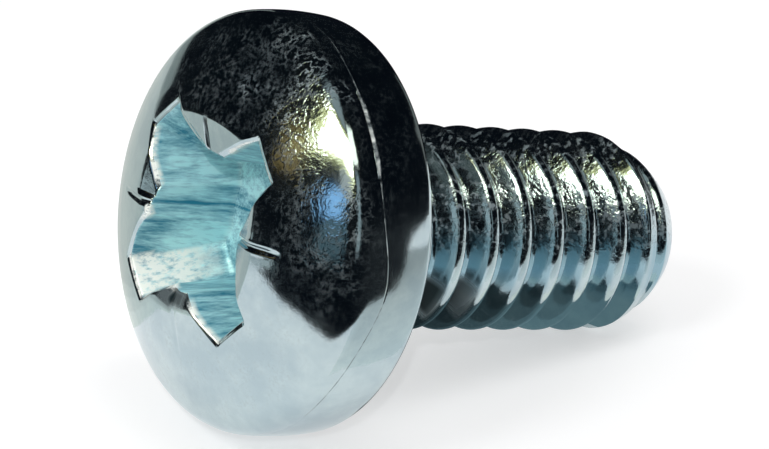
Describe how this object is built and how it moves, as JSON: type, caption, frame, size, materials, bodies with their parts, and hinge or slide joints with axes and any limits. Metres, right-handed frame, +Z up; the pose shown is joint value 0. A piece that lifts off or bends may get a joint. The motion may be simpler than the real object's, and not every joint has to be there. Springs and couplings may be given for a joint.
{
  "type": "pan head machine screw",
  "caption": "Zinc-plated steel pan head machine screw with a type Z cross recess and a full coarse thread, lying on its side; it clamps parts together in a tapped hole or with a nut.",
  "frame": {"origin": "on the table, under the middle of the screw's bounding box", "axes": "+Z is up; the screw lies with its axis in the XZ plane, its tip towards +X and slightly down, its head towards -X"},
  "size_m": [0.0176, 0.0124, 0.0124],
  "materials": {
    "zinc_steel": "bright zinc plate with a faint blue passivation"
  },
  "bodies": {
    "root": {"screw": "zinc_steel"}
  },
  "joints": []
}
